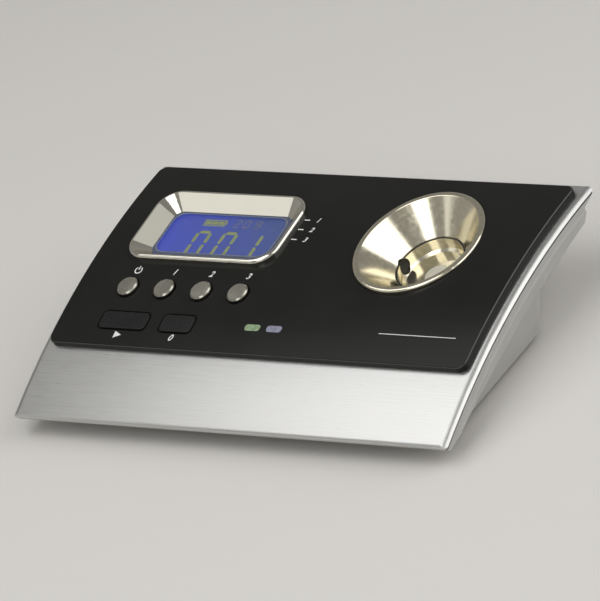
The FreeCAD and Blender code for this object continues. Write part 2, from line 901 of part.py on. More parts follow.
def ribbon(x, start_y, place, socket):
    """Flat cable in one smooth bend, from a connector on the main board up to a socket.

    The socket's point is given in the local axes of its place, and the cable meets it squarely."""
    start = point(0, start_y, floor_level + board_standoff + board_thickness + connector_height)
    end = place.multVec(socket - point(0, 0, ribbon_end_gap))
    end = point(0, end.y, end.z)
    arrival = place.Rotation.multVec(point(0, 0, 1))
    rise = end.z - start.z
    poles = [start, start + point(0, 0, rise * 0.6), end - arrival * rise * 0.3, end]
    sides = []
    for shift in (-ribbon_thickness / 2, ribbon_thickness / 2):
        curve = Part.BezierCurve()
        curve.setPoles([pole + point(x - ribbon_width / 2, shift) for pole in poles])
        sides.append(curve)
    caps = [Part.makeLine(sides[0].getPole(index), sides[1].getPole(index)) for index in (1, 4)]
    face = Part.Face(Part.Wire([sides[0].toShape(), caps[1], sides[1].toShape(), caps[0]]))
    return face.extrude(point(ribbon_width, 0))


def display_ribbon():
    low = view_level - window_thickness - module_gap - module_thickness
    edge = view_depth / 2 + module_margin
    socket = point(display_ribbon_x - display_x, connector_margin - edge, low)
    return ribbon(display_ribbon_x, display_connector_y, display_place(), socket)


def key_ribbon():
    return ribbon(key_ribbon_x, key_connector_y, key_board_place(), key_plug_middle())


# Batteries

def cell_centres():
    z = floor_level + cell_seat_gap + cell_radius
    first = cover_front_y + cover_gap + cell_radius + cell_cover_gap
    return [(first, z), (first + 2 * cell_radius + cell_gap, z)]


def battery(index):
    """AAA cell with its raised tip, turned end for end from its neighbour."""
    y, z = cell_centres()[index]
    left, right = bay_ends()
    side = 1 if index == 0 else -1
    start = point((left + right) / 2 - side * cell_length / 2, y, z)
    can = Part.makeCylinder(cell_radius, cell_length - cell_tip_length, start, point(side, 0))
    tip = Part.makeCylinder(cell_tip_radius, cell_length, start, point(side, 0))
    return can.makeChamfer(cell_edge, [edge for edge in can.Edges if len(edge.Vertexes) == 1]).fuse(tip)


def battery_contacts():
    """Four bent leaf springs between the bay's end walls and the cells."""
    left, right = bay_ends()
    half = contact_height / 2
    leaves = []
    for wall, side in ((left, 1), (right, -1)):
        for y, z in cell_centres():
            tip = point(wall + side * (cell_play - 2 * fit_gap), y, z)
            low = point(wall + side * fit_gap / 2, y, z - half)
            high = point(low.x, y, z + half)
            shift = point(side * contact_thickness, 0, 0)
            outer = Part.Arc(low + shift, tip, high + shift).toShape()
            inner = Part.Arc(high, tip - shift, low).toShape()
            rims = [Part.makeLine(high + shift, high), Part.makeLine(low, low + shift)]
            face = Part.Face(Part.Wire([outer, rims[0], inner, rims[1]]))
            face.translate(point(0, -contact_width / 2, 0))
            leaves.append(face.extrude(point(0, contact_width, 0)))
    return Part.makeCompound(leaves)


# Sample cup and optics

def cup_outline(grow):
    """Half section of the cup's outside, from its seat down to its floor."""
    rim_top = panel_thickness + rim_rise
    slope = (rim_radius - rim_width - cone_foot_radius) / cone_depth
    seat_r = rim_radius - rim_width - slope * (rim_top - rim_seat) + cup_wall * 1.3
    foot_z = rim_top - cone_depth
    foot_r = cone_foot_radius + cup_wall
    bottom = prism_top - cup_floor
    well_r = well_radius + well_wall + grow
    return [(seat_r + grow, rim_seat), (foot_r + grow, foot_z), (well_r, foot_z - foot_r + well_r - grow),
            (well_r, bottom - grow), (0, bottom - grow)]


def revolved(profile):
    """Solid turned about local Z from a closed half section of (radius, height) points."""
    corners = [point(radius, 0, height) for radius, height in profile]
    face = Part.Face(Part.makePolygon(corners + corners[:1]))
    return face.revolve(point(0, 0), point(0, 0, 1), 360)


def sample_cup():
    """Polished cup: rounded rim, conical wall, ledge and a round well with two side windows."""
    rim_top = panel_thickness + rim_rise
    inner_r = rim_radius - rim_width
    foot_z = rim_top - cone_depth
    ledge_z = foot_z - well_ledge_step
    chamfer = well_floor_chamfer
    hollow = [(rim_radius, rim_seat), (rim_radius, rim_top), (inner_r, rim_top),
              (cone_foot_radius, foot_z), (cone_foot_radius, ledge_z), (well_radius, ledge_z),
              (well_radius, prism_top + chamfer), (well_radius - chamfer, prism_top), (0, prism_top)]
    body = revolved(hollow + list(reversed(cup_outline(0))))
    for radius, rounding in ((rim_radius, rim_outer_round), (inner_r, rim_inner_round)):
        body = body.makeFillet(rounding, [edge for edge in body.Edges
                                          if edge.Curve.TypeId == "Part::GeomCircle"
                                          and abs(edge.Curve.Radius - radius) < 1e-6
                                          and abs(edge.Curve.Center.z - rim_top) < 1e-6])
    window_bore = Part.makeCylinder(cell_window_radius + thread_gap, 2 * rim_radius,
                                    point(-rim_radius, 0, cell_axis), point(1, 0))
    prism_bore = cylinder(prism_face_radius + thread_gap, prism_top - 2 * cup_floor, prism_top + 1)
    return placed(body.cut([window_bore, prism_bore]), cup_place())


def cup_gasket():
    ring = cylinder(rim_radius - 0.2, -1.6, rim_seat).cut(
        cylinder(rim_radius - rim_width + 0.3, -2, rim_seat + 1))
    slab = curved_slab(-half_width, half_width, 0, plate_length, -6, 0)
    return placed(ring, cup_place()).cut(slab)


def measuring_prism():
    """Round face in the floor of the well, with a roof-shaped body below it."""
    neck = cylinder(prism_face_radius, prism_top - cup_floor, prism_top)
    low = prism_top - cup_floor - prism_height
    half = prism_length / 2
    corners = [point(-half, 0, low + prism_height), point(half, 0, low + prism_height),
               point(half - prism_height, 0, low), point(prism_height - half, 0, low)]
    roof = Part.Face(Part.makePolygon(corners + corners[:1])).extrude(point(0, prism_width))
    roof.translate(point(0, -prism_width / 2))
    return placed(join([neck, roof]), cup_place())


def cell_windows():
    reach = well_radius + thread_gap
    discs = [Part.makeCylinder(cell_window_radius, cell_window_thickness,
                               point(side * reach, 0, cell_axis), point(side, 0)) for side in (-1, 1)]
    return Part.makeCompound([placed(disc, cup_place()) for disc in discs])


def optic_axes():
    """Start point and direction of the two inclined light paths below the prism."""
    middle = prism_top - cup_floor - prism_height / 2
    across = prism_length / 2 - prism_height / 2
    lean = math.radians(optic_tilt)
    return [(point(side * across, 0, middle), point(side * math.sin(lean), 0, -math.cos(lean)))
            for side in (-1, 1)]


def carrier_levels():
    """Heights of the carrier's top, shoulder and foot, down from the cup's seat."""
    top = cell_axis + filter_radius + 1.0
    shoulder = prism_top - carrier_shoulder
    return top, shoulder, shoulder - carrier_base_depth


def optics_block():
    top, shoulder, foot = carrier_levels()
    x = carrier_length / 2
    y = carrier_width / 2
    base_x = carrier_base_length / 2
    base_y = carrier_base_width / 2
    ear_y = carrier_ear_width / 2
    body_x = carrier_body_length / 2
    arm_y = carrier_arm_width / 2
    body = join([box(-body_x, body_x, -y, y, shoulder, top), box(-x, x, -arm_y, arm_y, shoulder, top),
                 box(-base_x, base_x, -base_y, base_y, foot, shoulder)])
    upright = [edge for edge in body.Edges if edge.Curve.TypeId == "Part::GeomLine"
               and abs(edge.tangentAt(edge.FirstParameter).z) > 0.99]
    body = body.makeFillet(carrier_corner, upright)
    ear_top = top - carrier_ear_drop
    ears = []
    for side in (-1, 1):
        xs = sorted((side * (x - carrier_corner), side * (x + carrier_ear)))
        ears.append(box(xs[0], xs[1], -ear_y, ear_y, ear_top - carrier_ear_thickness, ear_top))
    body = join([body] + ears)
    room = revolved([(0, rim_seat)] + cup_outline(cup_clearance))
    pocket_top = prism_top - cup_floor
    pocket = box(-prism_length / 2 - 2 * fit_gap, prism_length / 2 + 2 * fit_gap,
                 -prism_width / 2 - fit_gap, prism_width / 2 + fit_gap,
                 pocket_top - prism_height - fit_gap, pocket_top + 1)
    bores = (source_radius + fit_gap, lens_radius + thread_gap)
    paths = [Part.makeCylinder(radius, carrier_width, start, direction)
             for (start, direction), radius in zip(optic_axes(), bores)]
    filter_reach = well_radius + filter_distance
    cross = [Part.makeCylinder(light_bore_radius, carrier_length + 2,
                               point(-x - 1, 0, cell_axis), point(1, 0)),
             Part.makeCylinder(filter_radius + thread_gap, 2 * filter_reach,
                               point(-filter_reach, 0, cell_axis), point(1, 0)),
             Part.makeCylinder(probe_radius + fit_gap, y + 1, point(0, -y - 1, cell_axis), point(0, 1))]
    body = body.cut([room, pocket] + paths + cross)
    below = curved_slab(-half_width, half_width, -5, plate_length + 5, -cutter_height, 0)
    body = placed(body, cup_place()).common(below)
    floor = tray_section(0).common(tray_profile(0)).cut(tray_profile(tray_wall))
    return body.cut(floor.cut(tray_openings()))


def sensor_board():
    foot = carrier_levels()[2]
    outline = rounded_rectangle(carrier_base_length, carrier_base_width, 1.5, foot - sensor_board_thickness)
    return placed(prism(outline, sensor_board_thickness), cup_place())


def image_sensor():
    start, direction = optic_axes()[1]
    foot = carrier_levels()[2]
    x = start.x + direction.x * (foot - start.z) / direction.z
    width, depth, height = sensor_size
    return placed(box(x - width / 2, x + width / 2, -depth / 2, depth / 2, foot, foot + height),
                  cup_place())


def refractometer_led():
    start, direction = optic_axes()[0]
    tip = start + direction * source_distance
    can = Part.makeCylinder(source_radius, source_length, tip, direction)
    lens = Part.makeSphere(source_radius, tip)
    return placed(can.fuse(lens), cup_place())


def focusing_lens():
    """Biconvex lens: two spherical caps on a thin rim."""
    start, direction = optic_axes()[1]
    bulge = lens_thickness / 2
    ball = (lens_radius ** 2 + bulge ** 2) / (2 * bulge)
    lens = cylinder(lens_radius, -bulge, bulge)
    for side in (-1, 1):
        lens = lens.common(Part.makeSphere(ball * 1.25, point(0, 0, side * (ball * 1.25 - bulge))))
    lens.Placement = FreeCAD.Placement(start + direction * lens_distance,
                                       FreeCAD.Rotation(point(0, 0, 1), direction))
    return placed(lens, cup_place())


def cross_piece(radius, near, far, side):
    """Round piece on the light path across the well, between two distances from the centre."""
    disc = Part.makeCylinder(radius, far - near, point(side * near, 0, cell_axis), point(side, 0))
    return placed(disc, cup_place())


def filter_disc(side):
    near = well_radius + filter_distance - filter_thickness
    return cross_piece(filter_radius, near, near + filter_thickness, side)


def polarimeter_led():
    """Lamp with a round tip, flush with the end of the carrier's arm."""
    radius = light_bore_radius - thread_gap
    tip_x = well_radius + emitter_distance + radius
    body = cross_piece(radius, tip_x, carrier_length / 2, -1)
    tip = Part.makeSphere(radius, cup_place().multVec(point(-tip_x, 0, cell_axis)))
    return body.fuse(tip)


def photodiode():
    radius = light_bore_radius - thread_gap
    return cross_piece(radius, well_radius + emitter_distance, carrier_length / 2, 1)


def temperature_sensor():
    reach = well_radius + well_wall + thread_gap
    start = carrier_width / 2 + probe_overhang
    body = Part.makeCylinder(probe_radius, start - reach, point(0, -start, cell_axis), point(0, 1))
    return placed(body, cup_place())


os.makedirs("parts", exist_ok=True)

parts = {
    "top_plate": top_plate(),
    "front_panel": front_panel(),
    "housing_gasket": housing_gasket(),
    "upper_housing": upper_housing(),
    "lower_housing": lower_housing(),
    "battery_cover": battery_cover(),
    "rubber_feet": rubber_feet(),
    "housing_screws": housing_screws(),
    "lcd_bezel": lcd_bezel(),
    "lcd_window": lcd_window(),
    "lcd_module": lcd_module(),
    "status_light_green": status_light(green_light_x),
    "status_light_violet": status_light(violet_light_x),
    "key_board": key_board(),
    "tact_switches": tact_switches(),
    "status_leds": status_leds(),
    "main_board": main_board(),
    "processor": processor(),
    "board_screws": board_screws(),
    "display_ribbon": display_ribbon(),
    "key_ribbon": key_ribbon(),
    "battery_1": battery(0),
    "battery_2": battery(1),
    "battery_contacts": battery_contacts(),
    "sample_cup": sample_cup(),
    "cup_gasket": cup_gasket(),
    "measuring_prism": measuring_prism(),
    "cell_windows": cell_windows(),
    "optics_block": optics_block(),
    "sensor_board": sensor_board(),
    "image_sensor": image_sensor(),
    "refractometer_led": refractometer_led(),
    "focusing_lens": focusing_lens(),
    "polarizer": filter_disc(-1),
    "analyzer": filter_disc(1),
    "polarimeter_led": polarimeter_led(),
    "photodiode": photodiode(),
    "temperature_sensor": temperature_sensor(),
}

button_names = ["button_power", "button_1", "button_2", "button_3"]
for name, place in zip(button_names, button_places()):
    parts[name] = placed(round_button(), place)
for name, x, width in key_list():
    parts[name] = placed(flat_key(width), surface_place(x, key_along))

for name, shape in parts.items():
    shape.exportStep("parts/" + name + ".step")
    box_text = shape.BoundBox
    print(name, len(shape.Solids), shape.isValid(), round(shape.Volume, 1),
          "%.1f %.1f | %.1f %.1f | %.1f %.1f" % (box_text.XMin, box_text.XMax, box_text.YMin,
                                                 box_text.YMax, box_text.ZMin, box_text.ZMax))
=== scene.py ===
import json
import math

import bmesh
import bpy
from mathutils import Matrix, Vector


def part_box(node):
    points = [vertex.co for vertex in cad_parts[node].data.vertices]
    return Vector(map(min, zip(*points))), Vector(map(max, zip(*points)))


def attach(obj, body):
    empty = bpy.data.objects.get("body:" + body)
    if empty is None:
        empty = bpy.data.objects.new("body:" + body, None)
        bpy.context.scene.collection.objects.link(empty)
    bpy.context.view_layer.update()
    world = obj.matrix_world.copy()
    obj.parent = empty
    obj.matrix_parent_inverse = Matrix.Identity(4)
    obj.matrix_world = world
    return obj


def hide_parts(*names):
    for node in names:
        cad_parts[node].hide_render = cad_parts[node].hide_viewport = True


# Looks of a digital refractometer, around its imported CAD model. Everything is in metres. X runs
# along the front edge, Y to the back, Z up from the table.

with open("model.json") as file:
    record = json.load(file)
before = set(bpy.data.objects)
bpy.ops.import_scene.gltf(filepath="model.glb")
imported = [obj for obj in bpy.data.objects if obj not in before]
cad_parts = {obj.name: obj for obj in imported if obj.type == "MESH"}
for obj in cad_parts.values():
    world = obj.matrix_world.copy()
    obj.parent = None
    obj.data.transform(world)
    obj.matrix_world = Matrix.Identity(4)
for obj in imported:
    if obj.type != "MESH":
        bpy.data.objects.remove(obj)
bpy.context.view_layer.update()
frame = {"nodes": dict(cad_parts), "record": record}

# The curved top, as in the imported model. "Along" is arc length up the slope from the front edge,
# "height" is measured square to the plate.
curve_radius = 0.245
front_tilt = math.radians(24.8)
plate_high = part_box("top_plate")[1]
axis_y = plate_high.y
axis_z = plate_high.z - curve_radius
plate_length = curve_radius * front_tilt

# Outlines that follow the curved top: the longest run between two of their points
longest_run = 0.002

# Rolled side edges of the steel top
roll_radius = 0.0027
roll_angle = math.radians(60)
roll_steps = 9
merge_distance = 0.0000005
sharp_angle = math.radians(30)

# Dark band below the steel top, partly the seal and partly painted shade in the gap under the top:
# distances in from the top's edge, and heights
dark_band_outer = 0.00035
dark_band_inner = 0.00095
dark_band_top = -0.00152
dark_band_foot = -0.00225
dark_band_corner = 0.0012

# Panel on the steel top
panel_height = 0.0022
panel_front = 0.02585
panel_margin = 0.0033
panel_corner = 0.0030
panel_bevel = 0.0004

# Painted highlight along the panel's bevel: where it starts and ends, as shares of the bevel's
# width
highlight_start = 0.2
highlight_end = 0.75
highlight_lift = 0.00002

# Opening of the display frame
view_width = 0.0469
view_depth = 0.0190
view_corner = 0.0030
view_level = -0.0003

# Rings at the window's edge, the middle one a painted highlight: distance in from the opening, and
# what the corner radius gains
bevel_ring = (0.00003, 0)
highlight_ring = (0.0006, 0.0009)
clear_ring = (0.0009, 0.0009)

# Ledge between the cone and the well of the cup, and the dark line in it, which is a painted dark
# reflection
cup_along = 0.0733
ledge_level = -0.00675
ledge_outer = 0.01172
ledge_inner = 0.01112
circle_steps = 72

# Printed marks. The power symbol's ring runs from one angle to the other, in degrees, and its bar
# between two shares of the ring's radius.
ink_height = 0.00003
ink_lift = 0.00001
mark_above_button = 0.0067
mark_below_key = 0.0058
number_size = 0.0032
number_slant = 0.28
number_weight = 0.00005
power_radius = 0.00125
power_stroke = 0.0004
power_ring = (125, 415)
power_bar = (0.15, 1.35)
start_size = 0.0013
start_reach = 1.2
tick_length = 0.0021
tick_width = 0.0004
ticks_x = -0.0083
tick_numbers_x = -0.0040
tick_number_size = 0.85 * number_size
ticks_along = (0.0804, 0.0761, 0.0717)
rule_start_x = 0.0445
rule_end_x = 0.0738
rule_along = 0.03665
rule_width = 0.00025

# Display: its ends along X, its height over the plate, and its content from the window's middle
display_left, display_right = (corner.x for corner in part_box("lcd_window"))
display_face = -0.0018
digit_gap = 0.00022
large_digits = {"lefts": (-0.0111, -0.0005, 0.0098), "bottom": -0.0092, "width": 0.0062,
                "height": 0.0116, "stroke": 0.0013, "gap": digit_gap}
small_digits = {"lefts": (0.0013, 0.0049, 0.0094), "bottom": 0.0043, "width": 0.0025,
                "height": 0.0036, "stroke": 0.0004, "gap": digit_gap / 3}
segments_of = {"0": "abcdef", "1": "bc", "2": "abged", "9": "abcdfg"}
battery_left = -0.0110
battery_bottom = 0.0046
battery_width = 0.0088
battery_depth = 0.0028
battery_wall = 0.00045
battery_cells = 3
battery_tip_inset = 0.00084

# Studio surround: the direction that is brightest, then the range of directions and of levels
bright_side = (0.15, -0.25, -1.0)
surround_colour = (1.0, 0.985, 0.95, 1)
surround_levels = {"From Min": -1.0, "From Max": 0.2, "To Min": 0.20, "To Max": 0.36}

# Lamp panels: place, width, depth and brightness
lamps = {
    "key_light": ((-0.10, -0.16, 0.64), 1.0, 0.36, 1.75),
    "right_light": ((0.74, 0.28, 0.52), 0.95, 0.75, 1.6),
    "back_light": ((0.34, 0.42, 0.76), 0.44, 0.36, 0.35),
    "left_light": ((-0.58, -0.54, 0.60), 0.42, 0.42, 0.6),
    "front_light": ((0.14, -1.00, 0.80), 0.5, 0.5, 1.7),
}
floor_size = 6.0

# Camera, as fitted to the photograph
camera_place = Vector((1.424819, -1.406715, 1.138247))
camera_right = Vector((0.78231, 0.52292, -0.33844))
camera_up = Vector((-0.04746, 0.59181, 0.80468))
focal_length = 445.62
sensor_width = 36
camera_reach = 20


def surface(x, along, height=0.0):
    """Matrix of a spot on the curved top: local Z is square to the plate, local Y runs up it."""
    tilt = front_tilt * (1 - along / plate_length)
    reach = curve_radius + height
    spot = Vector((x, axis_y - reach * math.sin(tilt), axis_z + reach * math.cos(tilt)))
    return Matrix.Translation(spot) @ Matrix.Rotation(tilt, 4, "X")


def raised(place, height):
    """The place, moved along its own Z."""
    return place @ Matrix.Translation((0, 0, height))


def spot_of(node):
    """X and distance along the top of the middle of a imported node."""
    low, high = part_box(node)
    middle = (low + high) / 2
    tilt = math.atan2(axis_y - middle.y, middle.z - axis_z)
    return middle.x, plate_length * (1 - tilt / front_tilt)


# Finishes

noise_roughness = 0.55


def add_node(tree, kind, inputs):
    """Shader node with a value, or another node's output, for each input that is named."""
    node = tree.nodes.new(kind)
    for socket, value in inputs.items():
        if isinstance(value, bpy.types.NodeSocket):
            tree.links.new(value, node.inputs[socket])
        else:
            node.inputs[socket].default_value = value
    return node


class Finish:
    """A material: its shader and the textures that feed it, on the object's own coordinates."""

    def __init__(self, name, colour, roughness, metallic=0.0, **sockets):
        self.material = bpy.data.materials.new(name)
        self.material.use_nodes = True
        self.tree = self.material.node_tree
        self.shader = self.tree.nodes["Principled BSDF"]
        self.set("Base Color", (*colour, 1))
        self.set("Roughness", roughness)
        self.set("Metallic", metallic)
        for socket, value in sockets.items():
            self.set(socket.replace("_", " "), value)
        self.place = add_node(self.tree, "ShaderNodeTexCoord", {}).outputs["Object"]

    def set(self, socket, value):
        self.shader.inputs[socket].default_value = value

    def feed(self, socket, output):
        self.tree.links.new(output, self.shader.inputs[socket])

    def noise(self, stretch, detail):
        """Noise with so many features per metre along X, Y and Z."""
        mapping = add_node(self.tree, "ShaderNodeMapping", {"Vector": self.place, "Scale": stretch})
        noise = add_node(self.tree, "ShaderNodeTexNoise", {
            "Vector": mapping.outputs["Vector"], "Scale": 1.0, "Detail": detail,
            "Roughness": noise_roughness})
        return noise.outputs["Fac"]

    def even_noise(self, scale, detail):
        """Noise with as many features per metre on every side."""
        return self.noise((scale, scale, scale), detail)

    def part(self, axis):
        """The object coordinate along one axis, in metres."""
        return add_node(self.tree, "ShaderNodeSeparateXYZ", {"Vector": self.place}).outputs[axis]

    def spread(self, factor, low, high, start=0.3, end=0.7):
        """The factor's range from start to end, turned into a number from low to high."""
        node = add_node(self.tree, "ShaderNodeMapRange", {
            "Value": factor, "From Min": start, "From Max": end, "To Min": low, "To Max": high})
        return node.outputs["Result"]

    def blend(self, first, second, share=0.5):
        """A mix of two factors, with a share of the second."""
        return add_node(self.tree, "ShaderNodeMix",
                        {"Factor": share, 2: first, 3: second}).outputs[0]

    def tint(self, factor, dark, light, start=0.3, end=0.7, socket="Base Color"):
        """Colour that runs from dark to light with the factor."""
        node = add_node(self.tree, "ShaderNodeValToRGB", {"Fac": factor})
        stops = node.color_ramp.elements
        for stop, position, colour in zip(stops, (start, end), (dark, light)):
            stop.position = position
            stop.color = (*colour, 1)
        self.feed(socket, node.outputs["Color"])

    def gloss(self, factor, smooth, rough):
        """Roughness that runs from smooth to rough with the factor."""
        self.feed("Roughness", self.spread(factor, smooth, rough))

    def bump(self, height, depth, strength):
        node = add_node(self.tree, "ShaderNodeBump",
                        {"Height": height, "Distance": depth, "Strength": strength})
        self.feed("Normal", node.outputs["Normal"])

    def tangent(self, direction):
        node = add_node(self.tree, "ShaderNodeCombineXYZ", dict(zip("XYZ", direction)))
        self.feed("Tangent", node.outputs["Vector"])


def brushed_steel():
    """Steel with fine lines that run along X."""
    finish = Finish("brushed_steel", (0.66, 0.66, 0.645), 0.34, 1.0, Anisotropic=0.7)
    fine = finish.noise((130, 7000, 7000), 3.0)
    broad = finish.noise((45, 2600, 2600), 3.0)
    lines = finish.blend(fine, broad, 0.4)
    finish.tint(lines, (0.55, 0.55, 0.535), (0.73, 0.73, 0.72))
    finish.gloss(lines, 0.27, 0.4)
    finish.bump(lines, 0.00002, 0.35)
    finish.tangent((0, 1, 0))
    return finish.material


def black_panel():
    """Satin black with a very fine grain."""
    finish = Finish("black_panel", (0.014, 0.014, 0.013), 0.18, IOR=1.2)
    grain = finish.even_noise(2600, 2.0)
    cloud = finish.even_noise(40, 2.0)
    finish.tint(cloud, (0.0155, 0.0155, 0.0145), (0.0185, 0.0185, 0.0175))
    finish.gloss(finish.blend(grain, cloud), 0.16, 0.2)
    finish.bump(grain, 0.000002, 0.15)
    return finish.material


def moulded(name, dark, light, roughness, grain_depth=0.00002, ior=1.45):
    """Moulded plastic or rubber with a fine grain and slightly uneven gloss."""
    finish = Finish(name, dark, roughness, IOR=ior)
    grain = finish.even_noise(2200, 3.0)
    cloud = finish.even_noise(70, 3.0)
    finish.tint(cloud, dark, light)
    finish.gloss(finish.blend(grain, cloud), roughness - 0.06, roughness + 0.06)
    finish.bump(grain, grain_depth, 0.4)
    return finish.material


def metal(name, dark, light, roughness):
    """Plated or polished metal with faint variation in its gloss."""
    finish = Finish(name, light, roughness, 1.0)
    cloud = finish.even_noise(150, 1.0)
    finish.tint(cloud, dark, light)
    finish.gloss(cloud, roughness * 0.9, roughness * 1.1)
    return finish.material


def cup_steel():
    """Polished steel, very slightly uneven, with a warm tint that is a painted reflection of a warm
    wooden table.
    """
    # Warm tint of the steel: a painted reflection
    finish = Finish("polished_steel", (0.84, 0.79, 0.63), 0.16, 1.0)
    cloud = finish.even_noise(700, 3.0)
    finish.tint(cloud, (0.80, 0.745, 0.58), (0.87, 0.82, 0.66))
    finish.gloss(cloud, 0.12, 0.2)
    finish.bump(cloud, 0.00001, 0.3)
    return finish.material


def clear(name, colour, roughness=0.02, ior=1.49):
    """Clear glass or resin, a little uneven in its gloss."""
    finish = Finish(name, colour, roughness, Transmission_Weight=1.0, IOR=ior)
    finish.gloss(finish.even_noise(400, 2.0), roughness, roughness * 2.5)
    return finish.material


def dark_window():
    """Clear face over the optics beside the well, made near black as painted shade of the unlit
    inside behind it.
    """
    # Near-black colour: painted shade of the inside behind the window
    finish = Finish("dark_window", (0.01, 0.01, 0.009), 0.04, IOR=1.25)
    cloud = finish.even_noise(300, 2.0)
    finish.tint(cloud, (0.006, 0.006, 0.006), (0.014, 0.014, 0.012))
    finish.gloss(cloud, 0.03, 0.08)
    return finish.material


def prism_face():
    """Bright, slightly cloudy face of the measuring prism."""
    finish = Finish("prism_face", (0.80, 0.78, 0.66), 0.1, Transmission_Weight=0.2)
    cloud = finish.even_noise(500, 2.0)
    finish.tint(cloud, (0.76, 0.74, 0.62), (0.84, 0.82, 0.70))
    finish.gloss(cloud, 0.06, 0.14)
    return finish.material


def display_blue():
    """Lit blue display, with painted shade that makes it a little darker and greyer towards its
    right end.
    """
    finish = Finish("blue_display", (0.03, 0.05, 0.32), 0.35, Emission_Strength=0.75)
    # Painted shade: darker, greyer right end
    side = finish.spread(finish.part("X"), 0.15, 0.75, display_left, display_right)
    cloud = finish.even_noise(45, 2.0)
    shade = finish.blend(side, cloud, 0.3)
    finish.tint(shade, (0.028, 0.045, 0.30), (0.04, 0.065, 0.20))
    finish.tint(shade, (0.05, 0.075, 0.42), (0.05, 0.08, 0.18), socket="Emission Color")
    return finish.material


def lamp_window(name, dark, light):
    """Translucent cover of an indicator lamp, unlit."""
    finish = Finish(name, light, 0.3)
    cloud = finish.even_noise(500, 3.0)
    finish.tint(cloud, dark, light)
    finish.gloss(cloud, 0.2, 0.4)
    return finish.material


def circuit_board():
    """Green solder mask over traces."""
    finish = Finish("circuit_board", (0.02, 0.12, 0.05), 0.4)
    traces = finish.noise((900, 250, 250), 1.0)
    finish.tint(traces, (0.015, 0.10, 0.045), (0.05, 0.22, 0.09), 0.48, 0.52)
    finish.gloss(traces, 0.3, 0.45)
    return finish.material


def printed_ink():
    """White ink of the marks on the panel."""
    finish = Finish("white_ink", (0.86, 0.86, 0.84), 0.5)
    cloud = finish.even_noise(3000, 2.0)
    finish.tint(cloud, (0.80, 0.80, 0.78), (0.90, 0.90, 0.88))
    finish.gloss(cloud, 0.42, 0.58)
    return finish.material


def segment_ink(name, colour, dark, light, glow):
    """Segment of the display, lit a little by the display behind it."""
    finish = Finish(name, colour, 0.4, Emission_Color=(*glow, 1), Emission_Strength=0.6)
    finish.tint(finish.even_noise(2000, 2.0), dark, light)
    return finish.material


finishes = {
    "brushed_steel": brushed_steel(),
    "black_panel": black_panel(),
    "grey_plastic": moulded("grey_plastic", (0.42, 0.42, 0.405), (0.46, 0.46, 0.445), 0.38,
                            0.00001),
    "black_rubber": moulded("black_rubber", (0.016, 0.016, 0.016), (0.026, 0.026, 0.026), 0.75),
    "screw_steel": metal("screw_steel", (0.55, 0.55, 0.54), (0.68, 0.68, 0.67), 0.28),
    # Warm tint of the chrome trim: a painted reflection of a warm wooden table
    "chrome_trim": metal("chrome_trim", (0.81, 0.785, 0.685), (0.83, 0.805, 0.705), 0.08),
    "clear_window": clear("clear_window", (0.93, 0.95, 1.0)),
    "blue_display": display_blue(),
    "green_light": lamp_window("green_light", (0.22, 0.33, 0.18), (0.32, 0.44, 0.27)),
    "violet_light": lamp_window("violet_light", (0.21, 0.21, 0.32), (0.30, 0.30, 0.40)),
    "circuit_board": circuit_board(),
    "black_moulding": moulded("black_moulding", (0.018, 0.018, 0.019), (0.03, 0.03, 0.032), 0.6),
    "led_resin": clear("led_resin", (0.98, 0.9, 0.62), 0.05, 1.52),
    "ribbon_film": moulded("ribbon_film", (0.42, 0.2, 0.03), (0.55, 0.28, 0.05), 0.35),
    "battery_can": moulded("battery_can", (0.05, 0.09, 0.07), (0.09, 0.14, 0.11), 0.35),
    "polished_steel": cup_steel(),
    "optical_glass": clear("optical_glass", (0.92, 0.96, 1.0), 0.01, 1.6),
    "filter_film": clear("filter_film", (0.3, 0.3, 0.33), 0.03),
    "satin_button": metal("satin_button", (0.42, 0.41, 0.35), (0.46, 0.45, 0.39), 0.26),
    "black_key": moulded("black_key", (0.006, 0.006, 0.006), (0.009, 0.009, 0.009), 0.3,
                         0.000002, 1.32),
}

# Nodes that look unlike the rest of their slot
finishes_of_nodes = {"cell_windows": dark_window(), "measuring_prism": prism_face()}

for row in frame["record"]["subparts"]:
    node = frame["nodes"][row["node"]]
    node.data.materials.clear()
    node.data.materials.append(finishes_of_nodes.get(row["node"], finishes[row["material_slot"]]))

# Finishes of the pieces that are made here
ink = printed_ink()
segment = segment_ink("display_segment", (0.20, 0.22, 0.07), (0.16, 0.18, 0.055),
                      (0.24, 0.25, 0.08), (0.27, 0.31, 0.12))
faint_segment = segment_ink("display_faint_segment", (0.12, 0.11, 0.10), (0.10, 0.09, 0.09),
                            (0.14, 0.13, 0.11), (0.16, 0.17, 0.20))
window_bevel = moulded("window_bevel", (0.09, 0.11, 0.16), (0.11, 0.13, 0.18), 0.2, 0.000001)
# Lighter grey on the panel's bevel: a painted highlight
bevel_painted_highlight = moulded("panel_edge", (0.06, 0.06, 0.058), (0.075, 0.075, 0.072), 0.3, 0.000001)
# Near-black line in the cup's ledge: a painted dark reflection
ledge_painted_reflection = moulded("ledge_reflection_line", (0.012, 0.012, 0.010), (0.018, 0.018, 0.015), 0.35, 0.000001)
# Bright bluish line at the window's edge: a painted highlight
window_highlight_line = metal("window_highlight_line", (0.62, 0.68, 0.80), (0.66, 0.72, 0.84), 0.25)


# Outlines: closed rows of points about the local origin

def rectangle(x0, x1, y0, y1):
    return [(x0, y0), (x1, y0), (x1, y1), (x0, y1)]


def rounded_outline(width, depth, corner, steps=8):
    """Rounded rectangle, with so many steps in each corner."""
    points = []
    for turn, (sx, sy) in enumerate(((1, 1), (-1, 1), (-1, -1), (1, -1))):
        for index in range(steps + 1):
            angle = math.pi / 2 * (turn + index / steps)
            points.append((sx * (width / 2 - corner) + corner * math.cos(angle),
                           sy * (depth / 2 - corner) + corner * math.sin(angle)))
    return points


